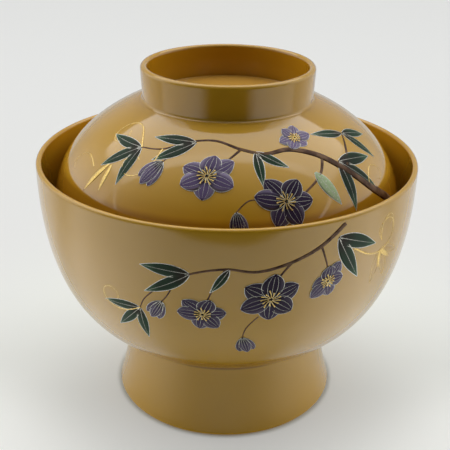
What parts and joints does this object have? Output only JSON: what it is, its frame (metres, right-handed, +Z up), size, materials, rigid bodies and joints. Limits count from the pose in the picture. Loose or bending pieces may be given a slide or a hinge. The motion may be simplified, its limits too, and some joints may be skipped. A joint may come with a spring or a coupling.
{
  "type": "lacquer soup bowl with lid",
  "caption": "Turned and lacquered soup bowl on a high flared foot, with a domed lid that drops inside the rim and lifts off by its grip ring.",
  "frame": {"origin": "middle of the foot's resting ring, on the surface the bowl stands on", "axes": "+Z up along the turning axis; X and Y are free, since every piece is round"},
  "size_m": [0.12, 0.12, 0.1123],
  "materials": {
    "ochre_lacquer": "wood under polished ochre lacquer, high gloss",
    "violet_lacquer": "raised violet lacquer, gloss",
    "green_lacquer": "raised dark green lacquer, gloss",
    "brown_lacquer": "raised brown lacquer, satin",
    "silver_powder": "sprinkled silver powder, polished",
    "gold_powder": "sprinkled gold powder, polished"
  },
  "bodies": {
    "bowl": {"bowl_body": "ochre_lacquer", "bowl_foot": "ochre_lacquer"},
    "lid": {"lid_body": "ochre_lacquer", "lid_ring": "ochre_lacquer"}
  },
  "joints": [
    {"name": "lid_lift", "type": "slide", "parent": "bowl", "child": "lid", "axis": [0, 0, 1], "range_m": [0, 0.12]}
  ]
}
